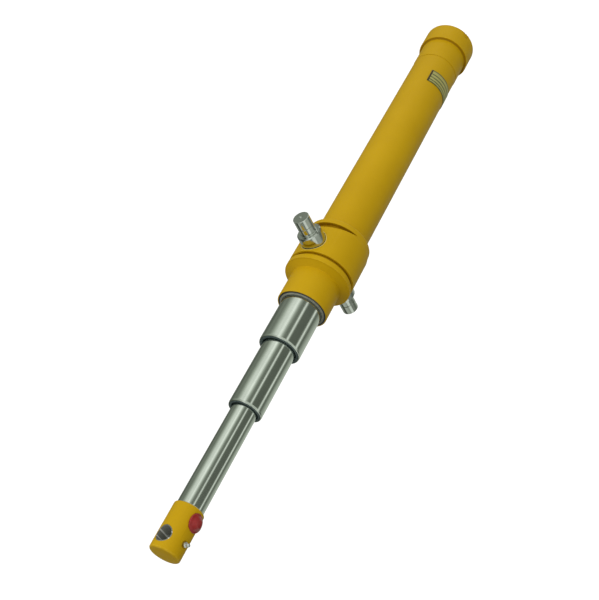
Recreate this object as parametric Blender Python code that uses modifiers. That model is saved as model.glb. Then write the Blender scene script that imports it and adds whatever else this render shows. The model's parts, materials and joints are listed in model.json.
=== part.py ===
"""Telescopic hydraulic cylinder: two chromed stages and a plunger in a trunnion-mounted barrel.

Frame: metres. The origin is where the trunnion axis crosses the cylinder axis. +X runs along the cylinder
towards the rod eye, +Y along the trunnions, and +Z towards the side of the oil port and the nameplate.
The cylinder is drawn partly extended, with each stage a little way out of the one before.
"""
import math

import bmesh
import bpy
from mathutils import Matrix, Vector

# ---------------------------------------------------------------- driving dimensions (metres)
GAP = 0.0003                 # running gap between pieces that touch or slide
FACETS = 36                  # sides of the large turned pieces
RING_FACETS = 32             # sides of the tubes and of the rings in their grooves
PIN_FACETS = 24              # sides of the small turned pieces

BARREL_R, BARREL_BORE_R = 0.0475, 0.0425
STAGE1_R, STAGE1_BORE_R = 0.0380, 0.0330
STAGE2_R, STAGE2_BORE_R = 0.0300, 0.0250
PLUNGER_R, OIL_BORE_R = 0.0225, 0.0080

CAP_BACK, CAP_FRONT = -0.680, -0.635
CAP_R, NECK_R = 0.0540, 0.0482
NECK_END = -0.580            # the base cap's neck is welded to the barrel here
BARREL_FLOOR = -0.642
BARREL_END = 0.018           # the barrel tube stops inside the trunnion collar
CAP_EDGE = 0.0030            # rounding of the base cap's back edge

COLLAR_R = 0.0630
COLLAR_BACK, COLLAR_FRONT = -0.0395, 0.0270
WELD_BACK = -0.0693          # toe of the taper that is welded to the barrel
TAPER_END, TAPER_R = -0.0580, 0.0605
RELIEF_R = 0.0615            # the collar's radius at the slot's rear wall
THREAD_R = 0.0511            # bore that the gland nut screws into
RELIEF_BACK = -0.0475        # straight rear wall of the relief slot behind the left trunnion
RELIEF_FLOOR_R = 0.0540
RELIEF_SPREAD = math.radians(65)
RELIEF_SLOPE, RELIEF_ROOT = 0.33, 0.0235

TRUNNION_TIP = 0.1170        # distance of each pin's end from the cylinder axis
TRUNNION_R, TRUNNION_SHOULDER_R = 0.0150, 0.0225
TRUNNION_SHOULDER_END, SHOULDER_CHAMFER = 0.0835, 0.0020
TRUNNION_GROOVE = 0.0980
SEAT_R, SEAT_HEIGHT = 0.0256, 0.0574
SPIGOT_R, SPIGOT_DEPTH = 0.0160, 0.0516

GLAND_BACK, GLAND_END = 0.0186, 0.1092
GLAND_FLANGE = (0.0345, 0.0437)
GLAND_NOSE_BACK, GLAND_NOSE_R, GLAND_BORE_R = 0.0502, 0.0471, 0.0386
GLAND_LAND_R = 0.0600        # the step behind the flange
GLAND_FACE_R = 0.0605        # where the flange's front face meets the cone
GLAND_UNDERCUT = (0.0315, 0.0575)      # where the groove behind the flange ends, and its floor's radius
GLAND_WIPER_R, GLAND_LIP_R = 0.0448, 0.0408
GLAND_SEAL_GROOVE_R, GLAND_GUIDE_GROOVE_R = 0.0432, 0.0412
O_RING_X, O_RING_R, O_RING_SECTION = 0.0228, 0.0490, 0.0015

STAGE1_END, STAGE1_LENGTH, STAGE1_HEAD = 0.2037, 0.758, 0.080
STAGE2_END, STAGE2_LENGTH, STAGE2_HEAD = 0.335, 0.762, 0.070
PLUNGER_LENGTH = 0.766
WIPER_LENGTH, WIPER_PROUD = 0.0070, 0.0006
THROAT = 0.0006              # play between a head and the stage that slides in it
SEAL_GROOVE, GUIDE_GROOVE, FOOT_GROOVE = 0.0043, 0.0025, 0.0010
ROD_SPIGOT_R, ROD_SPIGOT = 0.0140, 0.0080
LIP_WALL = 0.0025            # metal left outside each stage's wiper

EYE_BACK, EYE_END, EYE_R = 0.5220, 0.6015, 0.0256
EYE_BORE_X, EYE_BORE_R = 0.578, 0.0140
PORT_X, PORT_R = 0.542, 0.0105
PORT_SEAT_R, PORT_SEAT_Z = 0.0152, 0.0232
PORT_FLOOR, PLUG_FOOT, PLUG_TOP = -0.0040, 0.0085, 0.0310
PLUG_R, PLUG_STEM_R, PLUG_TIP_R = 0.0149, 0.0101, 0.0040
EYE_OIL_R = 0.0060
BUSH_BORE_R = 0.0125
NIPPLE_SEAT_Z, NIPPLE_TIP_Z, NIPPLE_FOOT_Z = 0.0246, 0.0355, 0.0160
NIPPLE_STEM_R, NIPPLE_HEX_R, NIPPLE_NECK_R, NIPPLE_HEAD_R = 0.0030, 0.0042, 0.0024, 0.0033

PLATE_X, PLATE_LENGTH, PLATE_ARC = -0.515, 0.035, math.radians(110)
BLEED_X, BLEED_TURN = -0.675, math.radians(25)
BLEED_SEAT_R, BLEED_SEAT_HEIGHT = 0.0062, 0.0510
BLEED_STEM_R, BLEED_STEM, BLEED_HEAD_R, BLEED_HEAD = 0.0030, 0.0078, 0.0048, 0.0025
BLEED_SOCKET_R = 0.0023

ALONG_X = Matrix.Rotation(math.radians(90), 4, 'Y')
ALONG_Y = Matrix.Rotation(math.radians(-90), 4, 'X')
ALONG_MINUS_Y = Matrix.Rotation(math.radians(90), 4, 'X')
ALONG_Z = Matrix.Identity(4)


# ---------------------------------------------------------------- scene and materials
def clear_scene():
    for obj in list(bpy.data.objects):
        bpy.data.objects.remove(obj, do_unlink=True)


def new_collection(name):
    collection = bpy.data.collections.new(name)
    bpy.context.scene.collection.children.link(collection)
    return collection


def material(name, colour, roughness, metallic):
    made = bpy.data.materials.new(name)
    made.use_nodes = True
    shader = made.node_tree.nodes["Principled BSDF"]
    shader.inputs["Base Color"].default_value = (*colour, 1.0)
    shader.inputs["Roughness"].default_value = roughness
    shader.inputs["Metallic"].default_value = metallic
    return made


clear_scene()
PARTS = new_collection("telescopic_hydraulic_cylinder")
CUTTERS = new_collection("cutters")

YELLOW = material("yellow_paint", (0.53, 0.33, 0.015), 0.42, 0.0)
CHROME = material("hard_chrome", (0.62, 0.64, 0.60), 0.12, 1.0)
STEEL = material("machined_steel", (0.50, 0.51, 0.50), 0.28, 1.0)
SPRING_STEEL = material("spring_steel", (0.22, 0.23, 0.25), 0.35, 1.0)
ZINC = material("zinc_plate", (0.68, 0.69, 0.70), 0.30, 1.0)
BRONZE = material("guide_bronze", (0.52, 0.33, 0.14), 0.40, 1.0)
SEAL = material("seal_rubber", (0.010, 0.013, 0.030), 0.50, 0.0)
RED = material("plug_red", (0.30, 0.030, 0.030), 0.40, 0.0)
PLATE = material("plate_aluminium", (0.50, 0.50, 0.36), 0.45, 1.0)


# ---------------------------------------------------------------- shape helpers
def keep(name, mesh, collection, finish=None):
    """An object of this mesh, in its collection and with its material."""
    obj = bpy.data.objects.new(name, mesh)
    collection.objects.link(obj)
    if finish:
        mesh.materials.append(finish)
    if collection is CUTTERS:
        obj.hide_render = True
        obj.display_type = 'WIRE'
    return obj


def attach(obj, parent):
    """Parent an object to a body's empty without moving it."""
    if parent:
        bpy.context.view_layer.update()
        obj.parent = parent
        obj.matrix_parent_inverse = parent.matrix_world.inverted()


def mesh_from(name, shape):
    mesh = bpy.data.meshes.new(name)
    shape.to_mesh(mesh)
    shape.free()
    return mesh


def turned(name, outline, finish, parent=None, place=ALONG_X, facets=RING_FACETS, collection=PARTS):
    """Turn an outline of (distance along the axis, radius) points, outer side first, about its own axis.

    An outline that starts and ends on the axis makes a solid, and any other is closed into a ring.
    """
    ring = outline[0][1] > 0
    shape = bmesh.new()
    points = [shape.verts.new((radius, 0, along)) for along, radius in reversed(outline)]
    for first, second in zip(points, points[1:]):
        shape.edges.new((first, second))
    if ring:
        shape.edges.new((points[-1], points[0]))
    obj = keep(name, mesh_from(name, shape), collection, finish)
    spin = obj.modifiers.new("turn", 'SCREW')
    spin.angle = math.tau
    spin.steps = spin.render_steps = facets
    spin.use_merge_vertices = True
    spin.merge_threshold = 0.00001
    spin.use_smooth_shade = True
    obj.matrix_world = place
    attach(obj, parent)
    return obj


def cutter(name, centre, direction, radius, length, sides):
    """A round cutter from centre along direction."""
    turn = Vector((0, 0, 1)).rotation_difference(Vector(direction)).to_matrix().to_4x4()
    shape = bmesh.new()
    middle = Matrix.Translation((0, 0, length / 2))
    bmesh.ops.create_cone(shape, cap_ends=True, segments=sides, radius1=radius, radius2=radius,
                          depth=length, matrix=middle)
    obj = keep(name, mesh_from(name, shape), CUTTERS)
    obj.matrix_world = Matrix.Translation(centre) @ turn
    return obj


def cut(obj, tool, operation='DIFFERENCE'):
    step = obj.modifiers.new(tool.name, 'BOOLEAN')
    step.operation = operation
    step.solver = 'EXACT'
    step.object = tool


def body(name, place, parent=None):
    """An empty on a moving body's joint axis, which carries the body's pieces."""
    empty = bpy.data.objects.new(name, None)
    PARTS.objects.link(empty)
    empty.empty_display_size = 0.05
    empty.location = place
    attach(empty, parent)
    bpy.context.view_layer.update()
    return empty


def ring_between(name, start, end, inner, outer, finish, parent=None):
    """A plain ring with a clearance gap on each side of the groove it sits in."""
    low, high = start + GAP, end - GAP
    return turned(name, [(low, outer), (high, outer), (high, inner), (low, inner)], finish, parent)


# ---------------------------------------------------------------- barrel, fixed pieces
def make_base_cap():
    cap = turned("base_cap", [
        (CAP_BACK, 0), (CAP_BACK, CAP_R - CAP_EDGE * 0.8), (CAP_BACK + CAP_EDGE / 2, CAP_R - CAP_EDGE / 5),
        (CAP_BACK + CAP_EDGE, CAP_R), (CAP_FRONT, CAP_R), (CAP_FRONT + 0.0005, NECK_R + 0.0015),
        (CAP_FRONT + 0.0015, NECK_R), (NECK_END, NECK_R), (NECK_END, BARREL_BORE_R),
        (BARREL_FLOOR, BARREL_BORE_R), (BARREL_FLOOR, 0)], YELLOW, facets=FACETS)
    out = Vector((0, -math.sin(BLEED_TURN), math.cos(BLEED_TURN)))
    foot = Vector((BLEED_X, 0, 0))
    cut(cap, cutter("bleed_seat_cutter", foot + out * BLEED_SEAT_HEIGHT, out, BLEED_SEAT_R, 0.010, 20))
    hole_foot = foot + out * (BLEED_SEAT_HEIGHT - BLEED_STEM - 0.0002)
    cut(cap, cutter("bleed_hole_cutter", hole_foot, out, BLEED_STEM_R + 0.0004, 0.010, 16))


def make_bleed_screw():
    turn = Matrix.Rotation(BLEED_TURN, 4, 'X')
    place = Matrix.Translation((BLEED_X, 0, 0)) @ turn
    head = BLEED_SEAT_HEIGHT + GAP
    top = head + BLEED_HEAD
    edge = 0.0005
    screw = turned("bleed_screw", [
        (head - BLEED_STEM, 0), (head - BLEED_STEM, BLEED_STEM_R), (head, BLEED_STEM_R),
        (head, BLEED_HEAD_R), (top - edge, BLEED_HEAD_R), (top, BLEED_HEAD_R - edge), (top, 0)],
        YELLOW, place=place, facets=PIN_FACETS)
    out = turn @ Vector((0, 0, 1))
    socket_foot = Vector((BLEED_X, 0, 0)) + out * (head - 0.001)
    cut(screw, cutter("bleed_socket_cutter", socket_foot, out, BLEED_SOCKET_R, 0.006, 6))


def make_barrel_tube():
    start = NECK_END + GAP
    turned("barrel_tube", [(start, BARREL_R), (BARREL_END, BARREL_R), (BARREL_END, BARREL_BORE_R),
                           (start, BARREL_BORE_R)], YELLOW, facets=FACETS)


def make_nameplate():
    """A thin plate bent round the barrel, between the trunnion's side and the port's side."""
    inner = BARREL_R + GAP
    thickness = 0.0008
    shape = bmesh.new()
    bmesh.ops.create_grid(shape, x_segments=1, y_segments=14, size=0.5)
    for vert in shape.verts:
        turn = vert.co.y * PLATE_ARC
        vert.co = (PLATE_X + vert.co.x * PLATE_LENGTH, -inner * math.sin(turn), inner * math.cos(turn))
    bmesh.ops.recalc_face_normals(shape, faces=shape.faces)
    outward = sum(f.normal.dot(f.calc_center_median() - Vector((PLATE_X, 0, 0))) for f in shape.faces)
    if outward < 0:
        bmesh.ops.reverse_faces(shape, faces=shape.faces)
    plate = keep("nameplate", mesh_from("nameplate", shape), PARTS, PLATE)
    shell = plate.modifiers.new("thickness", 'SOLIDIFY')
    shell.thickness = thickness
    shell.offset = 1.0


def relief_cutter():
    """A slot cutter round the left side: its rear wall is straight and its front wall tapers to it."""
    shape = bmesh.new()
    rows = []
    steps = 14
    top = COLLAR_R + 0.005
    for i in range(steps + 1):
        turn = RELIEF_SPREAD * (2 * i / steps - 1)
        front = RELIEF_BACK + RELIEF_SLOPE * (COLLAR_R * math.cos(turn) - RELIEF_ROOT)
        corners = ((RELIEF_BACK, RELIEF_FLOOR_R), (front, RELIEF_FLOOR_R), (front, top), (RELIEF_BACK, top))
        rows.append([shape.verts.new((x, -r * math.cos(turn), r * math.sin(turn))) for x, r in corners])
    for first, second in zip(rows, rows[1:]):
        for k in range(4):
            shape.faces.new((first[k - 1], first[k], second[k], second[k - 1]))
    shape.faces.new(rows[0])
    shape.faces.new(reversed(rows[-1]))
    bmesh.ops.recalc_face_normals(shape, faces=shape.faces)
    return keep("relief_cutter", mesh_from("relief_cutter", shape), CUTTERS)


def make_trunnion_collar():
    step = BARREL_END + GAP
    inner = BARREL_R + GAP
    collar = turned("trunnion_collar", [
        (WELD_BACK, inner + 0.0002), (TAPER_END, TAPER_R), (RELIEF_BACK, RELIEF_R), (COLLAR_BACK, COLLAR_R),
        (COLLAR_FRONT - 0.001, COLLAR_R), (COLLAR_FRONT, COLLAR_R - 0.001), (COLLAR_FRONT, THREAD_R),
        (step, THREAD_R), (step, inner), (WELD_BACK, inner)], YELLOW, facets=FACETS)
    cut(collar, relief_cutter())
    for side, sign in (("left", -1), ("right", 1)):
        out = (0, sign, 0)
        cut(collar, cutter(f"seat_cutter_{side}", (0, sign * SEAT_HEIGHT, 0), out, SEAT_R, 0.02, 40))
        cut(collar, cutter(f"spigot_cutter_{side}", (0, sign * SPIGOT_DEPTH, 0), out,
                           SPIGOT_R + GAP, 0.02, PIN_FACETS))


def make_trunnion_pins():
    foot = SEAT_HEIGHT + GAP
    groove_half, groove_depth = 0.0008, 0.0012
    outline = [
        (SPIGOT_DEPTH + GAP, 0), (SPIGOT_DEPTH + GAP, SPIGOT_R), (foot, SPIGOT_R),
        (foot, TRUNNION_SHOULDER_R), (TRUNNION_SHOULDER_END - SHOULDER_CHAMFER, TRUNNION_SHOULDER_R),
        (TRUNNION_SHOULDER_END, TRUNNION_SHOULDER_R - SHOULDER_CHAMFER),
        (TRUNNION_SHOULDER_END, TRUNNION_R),
        (TRUNNION_GROOVE - groove_half, TRUNNION_R),
        (TRUNNION_GROOVE - groove_half, TRUNNION_R - groove_depth),
        (TRUNNION_GROOVE + groove_half, TRUNNION_R - groove_depth),
        (TRUNNION_GROOVE + groove_half, TRUNNION_R), (TRUNNION_TIP - 0.001, TRUNNION_R),
        (TRUNNION_TIP, TRUNNION_R - 0.001), (TRUNNION_TIP, 0)]
    turned("trunnion_pin_left", outline, STEEL, place=ALONG_MINUS_Y, facets=PIN_FACETS)
    turned("trunnion_pin_right", outline, STEEL, place=ALONG_Y, facets=PIN_FACETS)


def make_gland():
    """The gland nut, screwed into the collar, with the seals and the guide that stage 1 runs in."""
    flange_back, flange_front = GLAND_FLANGE
    undercut_end, undercut_r = GLAND_UNDERCUT
    spigot = THREAD_R - GAP
    shoulder = COLLAR_FRONT + GAP
    wiper, seal, guide = (0.1020, GLAND_END), (0.0800, 0.0900), (0.0300, 0.0700)
    groove_half = O_RING_SECTION + 0.0004
    groove_back, groove_front = O_RING_X - groove_half, O_RING_X + groove_half
    groove_r = O_RING_R - groove_half
    nose_edge = 0.0010
    wiper_groove = GLAND_WIPER_R + GAP
    turned("gland_nut", [
        (GLAND_BACK, spigot), (groove_back, spigot), (groove_back, groove_r), (groove_front, groove_r),
        (groove_front, spigot), (shoulder, spigot), (shoulder, undercut_r), (undercut_end, undercut_r),
        (undercut_end, GLAND_LAND_R), (flange_back, GLAND_LAND_R), (flange_back, COLLAR_R),
        (flange_front, COLLAR_R), (flange_front + 0.0004, GLAND_FACE_R),
        (GLAND_NOSE_BACK, GLAND_NOSE_R), (GLAND_END - nose_edge, GLAND_NOSE_R),
        (GLAND_END, GLAND_NOSE_R - nose_edge), (GLAND_END, wiper_groove), (wiper[0], wiper_groove),
        (wiper[0], GLAND_BORE_R), (seal[1], GLAND_BORE_R), (seal[1], GLAND_SEAL_GROOVE_R),
        (seal[0], GLAND_SEAL_GROOVE_R), (seal[0], GLAND_BORE_R), (guide[1], GLAND_BORE_R),
        (guide[1], GLAND_GUIDE_GROOVE_R), (guide[0], GLAND_GUIDE_GROOVE_R), (guide[0], GLAND_BORE_R),
        (GLAND_BACK, GLAND_BORE_R)], YELLOW, facets=FACETS)
    inner = STAGE1_R + GAP
    lip_root, lip_tip = GLAND_END + 0.0003, GLAND_END + 0.0022
    turned("gland_wiper", [
        (wiper[0] + GAP, GLAND_WIPER_R), (lip_root, GLAND_WIPER_R), (lip_root, GLAND_LIP_R),
        (lip_tip, GLAND_LIP_R - 0.0008), (lip_tip, inner), (wiper[0] + GAP, inner)], SEAL)
    ring_between("gland_seal", *seal, inner, GLAND_SEAL_GROOVE_R - GAP, SEAL)
    ring_between("gland_guide_ring", *guide, inner, GLAND_GUIDE_GROOVE_R - GAP, BRONZE)
    corners = [math.radians(22.5 + 45 * i) for i in range(8)]
    outline = [(O_RING_X - O_RING_SECTION * math.cos(a), O_RING_R + O_RING_SECTION * math.sin(a))
               for a in corners]
    turned("gland_o_ring", outline, SEAL)


# ---------------------------------------------------------------- moving stages
def make_stage(name, parent, end, length, head, radius, bore, inner_r, outer_bore):
    """A chromed tube: its head carries the next stage's wiper, seal and guide, and its foot its own guide.

    inner_r is the radius of the stage that slides in it, and outer_bore the bore that it slides in.
    """
    start = end - length
    throat = inner_r + THROAT
    wiper_back, wiper_r = end - WIPER_LENGTH, radius - LIP_WALL
    seal, guide = (end - 0.027, end - 0.019), (end - head + 0.008, end - 0.035)
    foot_groove = (start + 0.005, start + 0.042)
    split = foot_groove[1] - 0.004
    foot_r = radius - FOOT_GROOVE
    seal_r, guide_r = inner_r + SEAL_GROOVE, inner_r + GUIDE_GROOVE
    turned(f"{name}_tube", [
        (start, radius), (foot_groove[0], radius), (foot_groove[0], foot_r), (foot_groove[1], foot_r),
        (foot_groove[1], radius), (end - 0.0015, radius), (end, radius - 0.0015), (end, wiper_r + GAP),
        (wiper_back, wiper_r + GAP), (wiper_back, throat), (seal[1], throat), (seal[1], seal_r),
        (seal[0], seal_r), (seal[0], throat), (guide[1], throat), (guide[1], guide_r),
        (guide[0], guide_r), (guide[0], throat),
        (end - head, throat), (end - head, bore), (start, bore)], CHROME, parent)
    clear = inner_r + GAP
    ring_between(f"{name}_wiper", wiper_back, end + WIPER_PROUD + GAP, clear, wiper_r, SEAL, parent)
    ring_between(f"{name}_seal", *seal, clear, seal_r - GAP, SEAL, parent)
    ring_between(f"{name}_head_guide", *guide, clear, guide_r - GAP, BRONZE, parent)
    ring_between(f"{name}_foot_guide", foot_groove[0], split, foot_r + GAP, outer_bore - 0.0004, BRONZE,
                 parent)
    ring_between(f"{name}_stop_ring", split, foot_groove[1], foot_r + GAP, outer_bore - 0.0008,
                 SPRING_STEEL, parent)


def make_plunger(parent, guide_parent):
    """The innermost rod, bored through for the oil, with a spigot in the rod eye."""
    start = EYE_BACK - GAP - PLUNGER_LENGTH
    end = EYE_BACK - GAP
    foot_groove = (start + 0.005, start + 0.037)
    split = foot_groove[1] - 0.004
    foot_r = PLUNGER_R - FOOT_GROOVE
    turned("plunger_rod", [
        (start, PLUNGER_R), (foot_groove[0], PLUNGER_R), (foot_groove[0], foot_r),
        (foot_groove[1], foot_r), (foot_groove[1], PLUNGER_R), (end, PLUNGER_R), (end, ROD_SPIGOT_R),
        (end + ROD_SPIGOT, ROD_SPIGOT_R), (end + ROD_SPIGOT, OIL_BORE_R), (start, OIL_BORE_R)],
        CHROME, parent)
    ring_between("plunger_foot_guide", foot_groove[0], split, foot_r + GAP, STAGE2_BORE_R - 0.0004,
                 BRONZE, guide_parent)
    ring_between("plunger_stop_ring", split, foot_groove[1], foot_r + GAP, STAGE2_BORE_R - 0.0008,
                 SPRING_STEEL, guide_parent)


def make_rod_eye(parent):
    eye = turned("rod_eye", [
        (EYE_BACK, 0), (EYE_BACK, EYE_R - 0.0020), (EYE_BACK + 0.0020, EYE_R), (EYE_END - 0.0030, EYE_R),
        (EYE_END - 0.0010, EYE_R - 0.0010), (EYE_END, EYE_R - 0.0030), (EYE_END, 0)],
        YELLOW, parent, facets=FACETS)
    spigot_r, spigot_hole = ROD_SPIGOT_R + GAP, 0.01 + ROD_SPIGOT + 0.0005
    cut(eye, cutter("rod_spigot_cutter", (EYE_BACK - 0.01, 0, 0), (1, 0, 0), spigot_r, spigot_hole, 32))
    cut(eye, cutter("oil_bore_cutter", (EYE_BACK, 0, 0), (1, 0, 0), EYE_OIL_R, PORT_X - EYE_BACK, 16))
    cut(eye, cutter("port_cutter", (PORT_X, 0, PORT_FLOOR), (0, 0, 1), PORT_R, 0.04, PIN_FACETS))
    cut(eye, cutter("port_seat_cutter", (PORT_X, 0, PORT_SEAT_Z), (0, 0, 1), PORT_SEAT_R, 0.01, FACETS))
    cut(eye, cutter("pin_bore_cutter", (EYE_BORE_X, -0.04, 0), (0, 1, 0), EYE_BORE_R, 0.08, RING_FACETS))
    cut(eye, cutter("nipple_hole_cutter", (EYE_BORE_X, 0, 0.005), (0, 0, 1),
                    NIPPLE_STEM_R + GAP, 0.03, 12))
    cut(eye, cutter("nipple_seat_cutter", (EYE_BORE_X, 0, NIPPLE_SEAT_Z - GAP), (0, 0, 1), 0.0058, 0.01,
                    20))


def make_eye_bush(parent):
    """A thin bush across the eye, trimmed to the eye's round outside."""
    half = EYE_R + 0.005
    outer, inner = EYE_BORE_R - GAP, BUSH_BORE_R
    place = Matrix.Translation((EYE_BORE_X, 0, 0)) @ ALONG_Y
    bush = turned("eye_bush", [(-half, outer), (half, outer), (half, inner), (-half, inner)],
                  STEEL, parent, place=place)
    envelope = cutter("bush_envelope", (EYE_BORE_X - 0.03, 0, 0), (1, 0, 0), EYE_R - 0.0004, 0.06, FACETS)
    cut(bush, envelope, 'INTERSECT')


def make_port_plug(parent):
    """The plastic plug that closes the oil port until a hose is fitted."""
    seat = PORT_SEAT_Z + GAP
    edge = 0.0007
    turned("port_plug", [
        (PLUG_FOOT, 0), (PLUG_FOOT, PLUG_STEM_R - edge), (PLUG_FOOT + edge, PLUG_STEM_R),
        (seat, PLUG_STEM_R), (seat, PLUG_R - edge), (seat + edge, PLUG_R), (seat + 3 * edge, PLUG_R),
        (seat + 4 * edge, PLUG_R - edge), (PLUG_TOP - edge, PLUG_TIP_R + 3 * edge), (PLUG_TOP, PLUG_TIP_R),
        (PLUG_TOP, 0)], RED, parent, place=Matrix.Translation((PORT_X, 0, 0)), facets=28)


def make_grease_nipple(parent):
    foot, seat, tip = NIPPLE_FOOT_Z, NIPPLE_SEAT_Z, NIPPLE_TIP_Z
    hex_top = seat + 0.0040
    turned("grease_nipple", [
        (foot, 0), (foot, NIPPLE_STEM_R), (seat, NIPPLE_STEM_R), (seat, NIPPLE_HEX_R),
        (hex_top, NIPPLE_HEX_R), (hex_top + 0.0010, NIPPLE_STEM_R), (tip - 0.0042, NIPPLE_NECK_R),
        (tip - 0.0028, NIPPLE_HEAD_R), (tip - 0.0010, NIPPLE_STEM_R), (tip, NIPPLE_HEAD_R / 2), (tip, 0)],
        ZINC, parent, place=Matrix.Translation((EYE_BORE_X, 0, 0)), facets=12)


# ---------------------------------------------------------------- assembly
def shade_round():
    """Shade turned sides smooth and keep their real edges sharp."""
    for obj in PARTS.objects:
        if obj.type == 'MESH':
            obj.data.shade_smooth()
            obj.data.set_sharp_from_angle(angle=math.radians(35))


def main():
    make_base_cap()
    make_bleed_screw()
    make_barrel_tube()
    make_nameplate()
    make_trunnion_collar()
    make_trunnion_pins()
    make_gland()

    stage1 = body("stage1_body", (STAGE1_END, 0, 0))
    stage2 = body("stage2_body", (STAGE2_END, 0, 0), stage1)
    guide = body("plunger_guide_body", (EYE_BACK, 0, 0), stage2)
    plunger = body("plunger_body", (EYE_BACK, 0, 0), guide)

    make_stage("stage1", stage1, STAGE1_END, STAGE1_LENGTH, STAGE1_HEAD, STAGE1_R, STAGE1_BORE_R,
               STAGE2_R, BARREL_BORE_R)
    make_stage("stage2", stage2, STAGE2_END, STAGE2_LENGTH, STAGE2_HEAD, STAGE2_R, STAGE2_BORE_R,
               PLUNGER_R, STAGE1_BORE_R)
    make_plunger(plunger, guide)
    make_rod_eye(plunger)
    make_eye_bush(plunger)
    make_port_plug(plunger)
    make_grease_nipple(plunger)
    shade_round()


main()
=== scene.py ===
"""The looks of a telescopic hydraulic cylinder: painted barrel, chromed stages, steel trunnions and rod eye.

Metres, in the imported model's frame: +X runs along the cylinder to the rod eye, +Y along the trunnions and
+Z to the side of the oil port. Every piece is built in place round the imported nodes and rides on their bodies.
"""
import json
import math

import bmesh
import bpy
from mathutils import Matrix, Vector


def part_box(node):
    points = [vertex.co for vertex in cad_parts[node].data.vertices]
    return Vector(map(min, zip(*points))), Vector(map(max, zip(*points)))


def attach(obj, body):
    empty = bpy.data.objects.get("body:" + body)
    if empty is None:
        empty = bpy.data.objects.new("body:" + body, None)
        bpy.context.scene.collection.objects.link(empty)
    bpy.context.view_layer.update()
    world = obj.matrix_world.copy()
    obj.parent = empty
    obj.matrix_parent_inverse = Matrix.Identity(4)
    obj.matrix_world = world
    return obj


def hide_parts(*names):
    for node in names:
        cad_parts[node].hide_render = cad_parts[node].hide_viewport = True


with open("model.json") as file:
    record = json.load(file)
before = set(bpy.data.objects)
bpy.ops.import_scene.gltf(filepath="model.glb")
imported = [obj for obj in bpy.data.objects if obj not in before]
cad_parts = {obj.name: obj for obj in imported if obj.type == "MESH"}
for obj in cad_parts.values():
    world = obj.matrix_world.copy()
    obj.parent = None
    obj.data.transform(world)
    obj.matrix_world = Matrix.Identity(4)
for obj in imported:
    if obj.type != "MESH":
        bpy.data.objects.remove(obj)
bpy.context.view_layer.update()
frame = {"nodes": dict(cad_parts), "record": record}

TURN = math.tau
SEGMENTS = 144               # sides of a large turned piece
FINE = 72                    # sides of a small one
CUTTERS = bpy.data.collections.new("cutters")


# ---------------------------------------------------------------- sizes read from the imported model
def span(node, axis=0):
    low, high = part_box(node)
    return low[axis], high[axis]


def radius(node):
    """Largest distance from the cylinder axis, for a piece turned about X."""
    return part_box(node)[1][1]


MM = 0.001
BARREL_R = radius("barrel_tube")
BARREL_BORE_R = 42.5 * MM
CAP_BACK, NECK_END = span("base_cap")
CAP_FRONT = CAP_BACK + 45 * MM
CAP_R = radius("base_cap")
WELD_BACK, COLLAR_FRONT = span("trunnion_collar")
COLLAR_R = radius("trunnion_collar")
THREAD_R = 51.1 * MM
RELIEF_BACK = WELD_BACK + 21.8 * MM      # rear wall of the relief slot behind the left trunnion
GLAND_BACK, GLAND_END = span("gland_nut")
GLAND_NOSE_R, GLAND_BORE_R = 47.1 * MM, 38.6 * MM
GAP = 0.3 * MM
LIP_WALL = 2.5 * MM                      # metal outside each stage's wiper
PLUNGER_R = radius("plunger_rod")
EYE_BACK, EYE_END = span("rod_eye")
EYE_R = radius("rod_eye")
PIN_TIP = span("trunnion_pin_right", 1)[1]
SHOULDER_R = 22.5 * MM
PORT_X = sum(span("port_plug")) / 2
BUSH_X = sum(span("eye_bush")) / 2
SEAT_RING_R = 23.9 * MM                  # the machined edge round each trunnion's seat
BLEED_X = sum(span("bleed_screw")) / 2
BLEED_TURN = math.radians(25)


# ---------------------------------------------------------------- node trees
def new_material(name):
    made = bpy.data.materials.new(name)
    made.use_nodes = True
    tree = made.node_tree
    return made, tree, tree.nodes["Principled BSDF"]


def add(tree, kind, inputs=(), **settings):
    """A node with its properties set, and its inputs given as a dict of name or index to value or socket."""
    made = tree.nodes.new(kind)
    for key, value in settings.items():
        setattr(made, key, value)
    for key, value in dict(inputs).items():
        if isinstance(value, bpy.types.NodeSocket):
            tree.links.new(value, made.inputs[key])
        else:
            made.inputs[key].default_value = value
    return made


def math_node(tree, operation, first, second=0.0, third=0.0, clamp=False):
    made = add(tree, "ShaderNodeMath", {0: first, 1: second, 2: third}, operation=operation)
    made.use_clamp = clamp
    return made.outputs[0]


def place_of(tree):
    return add(tree, "ShaderNodeTexCoord").outputs["Object"]


def noise(tree, scale, detail=2.0, rough=0.5, vector=None, stretch=(1, 1, 1)):
    where = vector or place_of(tree)
    if stretch != (1, 1, 1):
        where = add(tree, "ShaderNodeMapping", {"Vector": where, "Scale": stretch}).outputs[0]
    return add(tree, "ShaderNodeTexNoise",
               {"Vector": where, "Scale": scale, "Detail": detail, "Roughness": rough}).outputs["Fac"]


def between(tree, value, low, high, to_low=0.0, to_high=1.0):
    return add(tree, "ShaderNodeMapRange", {"Value": value, "From Min": low, "From Max": high,
                                            "To Min": to_low, "To Max": to_high}).outputs[0]


def mix_colour(tree, factor, first, second):
    made = add(tree, "ShaderNodeMix", data_type='RGBA')
    for socket, value in ((made.inputs[0], factor), (made.inputs[6], first), (made.inputs[7], second)):
        if isinstance(value, bpy.types.NodeSocket):
            tree.links.new(value, socket)
        else:
            socket.default_value = value if not isinstance(value, tuple) or len(value) == 4 else (*value, 1)
    return made.outputs[2]


def bump(tree, height, strength, distance, normal=None):
    inputs = {"Height": height, "Strength": strength, "Distance": distance}
    if normal:
        inputs["Normal"] = normal
    return add(tree, "ShaderNodeBump", inputs).outputs[0]


def rim_wear(tree):
    """0 on plain surfaces and 1 on rounded outer edges, as the lathe marks them."""
    return add(tree, "ShaderNodeAttribute", attribute_name="rim").outputs["Fac"]


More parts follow.
